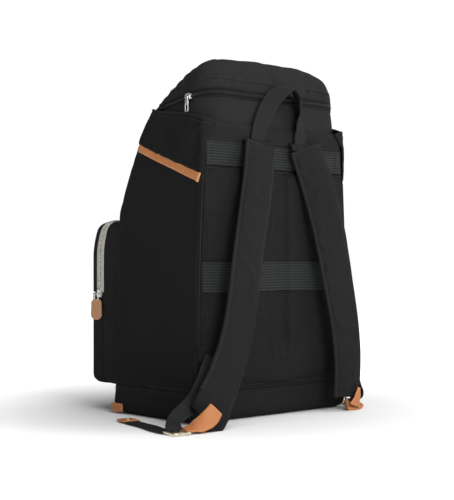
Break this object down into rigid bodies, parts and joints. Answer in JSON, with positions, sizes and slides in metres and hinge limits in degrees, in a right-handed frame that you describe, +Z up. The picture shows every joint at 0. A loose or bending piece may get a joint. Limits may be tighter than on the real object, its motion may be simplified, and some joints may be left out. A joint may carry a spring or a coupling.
{
  "type": "racket backpack",
  "caption": "Black fabric racket backpack with hinged lid, zipped front pocket, side pockets, grab handle, padded shoulder straps and leather trim, standing on its base.",
  "frame": {"origin": "centre of the base's underside, where the bag stands", "axes": "+Z up; +Y towards the wearer (back panel and shoulder straps); -Y towards the front pocket; +X towards the bag's left side as worn seen from the front, where the zip pulls hang"},
  "size_m": [0.4331, 0.3229, 0.5033],
  "materials": {
    "black_fabric": "matte plain weave",
    "base_fabric": "matte coated weave",
    "strap_fabric": "matte plain weave over foam",
    "back_mesh": "open air mesh over foam",
    "ribbed_webbing": "ribbed webbing",
    "tan_leather": "smooth vegetable-tanned leather",
    "pull_leather": "smooth leather",
    "black_zip_tape": "coil zip tape",
    "cream_zip_tape": "woven cotton zip tape",
    "zip_metal": "bright nickel",
    "brass_metal": "pale gold plating",
    "stiff_board": "moulded sheet",
    "grey_lining": "padded nylon lining"
  },
  "bodies": {
    "root": {"front_panel": "black_fabric", "front_top_panel": "black_fabric", "back_panel": "black_fabric", "side_gusset_left": "black_fabric", "side_gusset_right": "black_fabric", "upper_side_band": "black_fabric", "side_pocket_left": "black_fabric", "side_pocket_right": "black_fabric", "side_collar_left": "black_fabric", "side_collar_right": "black_fabric", "front_pocket_body": "black_fabric", "back_yoke": "black_fabric", "strap_wing_left": "black_fabric", "strap_wing_right": "black_fabric", "base_panel": "base_fabric", "back_pad_left": "back_mesh", "back_pad_right": "back_mesh", "back_pad_channel": "back_mesh", "lower_back_band": "ribbed_webbing", "upper_back_band": "ribbed_webbing", "adjuster_webbing_left": "ribbed_webbing", "adjuster_webbing_right": "ribbed_webbing", "webbing_tail_left": "ribbed_webbing", "webbing_tail_right": "ribbed_webbing", "side_pocket_trim_left": "tan_leather", "side_pocket_trim_right": "tan_leather", "front_corner_tab_left": "tan_leather", "front_corner_tab_right": "tan_leather", "webbing_tip_left": "tan_leather", "webbing_tip_right": "tan_leather", "main_zip_tape_body": "black_zip_tape", "front_zip_tape_body": "cream_zip_tape", "front_zip_teeth_body": "zip_metal", "tip_rivets": "brass_metal", "base_board": "stiff_board", "back_frame_sheet": "stiff_board", "laptop_sleeve": "grey_lining", "racket_divider": "grey_lining"},
    "lid": {"lid_panel": "black_fabric", "lid_zip_band": "black_fabric", "main_zip_tape_lid": "black_zip_tape"},
    "pocket_flap": {"front_pocket_flap": "black_fabric", "front_zip_tape_flap": "cream_zip_tape", "front_zip_teeth_flap": "zip_metal"},
    "main_slider": {"main_zip_slider": "zip_metal"},
    "main_pull": {"main_zip_pull": "zip_metal"},
    "front_slider": {"front_zip_slider": "zip_metal"},
    "front_pull": {"front_zip_pull_ring": "zip_metal", "front_zip_pull_leather": "pull_leather"},
    "handle": {"grab_handle": "ribbed_webbing"},
    "strap_left": {"shoulder_strap_left": "strap_fabric", "strap_end_tab_left": "tan_leather", "strap_buckle_left": "brass_metal"},
    "strap_right": {"shoulder_strap_right": "strap_fabric", "strap_end_tab_right": "tan_leather", "strap_buckle_right": "brass_metal"}
  },
  "joints": [
    {"name": "lid_open", "type": "hinge", "parent": "root", "child": "lid", "pos_m": [0, -0.022, 0.434], "axis": [1, 0, 0], "range_deg": [0, 120]},
    {"name": "pocket_flap_open", "type": "hinge", "parent": "root", "child": "pocket_flap", "pos_m": [0, -0.164, 0.173], "axis": [1, 0, 0], "range_deg": [0, 85]},
    {"name": "main_zip_run", "type": "hinge", "parent": "root", "child": "main_slider", "pos_m": [0.096, 0.0575, 0.44719], "axis": [0, -0.1637, 0.9865], "range_deg": [0, 90]},
    {"name": "main_pull_swing", "type": "hinge", "parent": "main_slider", "child": "main_pull", "pos_m": [0.138, 0.0575, 0.44619], "axis": [0, -1, 0], "range_deg": [0, 120]},
    {"name": "front_zip_run", "type": "slide", "parent": "root", "child": "front_slider", "axis": [0, 0, 1], "range_m": [0, 0.075]},
    {"name": "front_pull_swing", "type": "hinge", "parent": "front_slider", "child": "front_pull", "pos_m": [0.14555, -0.1435, 0.171], "axis": [0, -1, 0], "range_deg": [0, 150]},
    {"name": "handle_swing", "type": "hinge", "parent": "root", "child": "handle", "pos_m": [0, 0.0996, 0.3847], "axis": [-1, 0, 0], "range_deg": [0, 70], "stiffness_Nm_per_rad": 0.02, "springref_deg": -6.88},
    {"name": "strap_left_swing", "type": "hinge", "parent": "root", "child": "strap_left", "pos_m": [0, 0.1, 0.3835], "axis": [1, 0, 0], "range_deg": [0, 10]},
    {"name": "strap_right_swing", "type": "hinge", "parent": "root", "child": "strap_right", "pos_m": [0, 0.1, 0.3835], "axis": [1, 0, 0], "range_deg": [0, 10]}
  ]
}
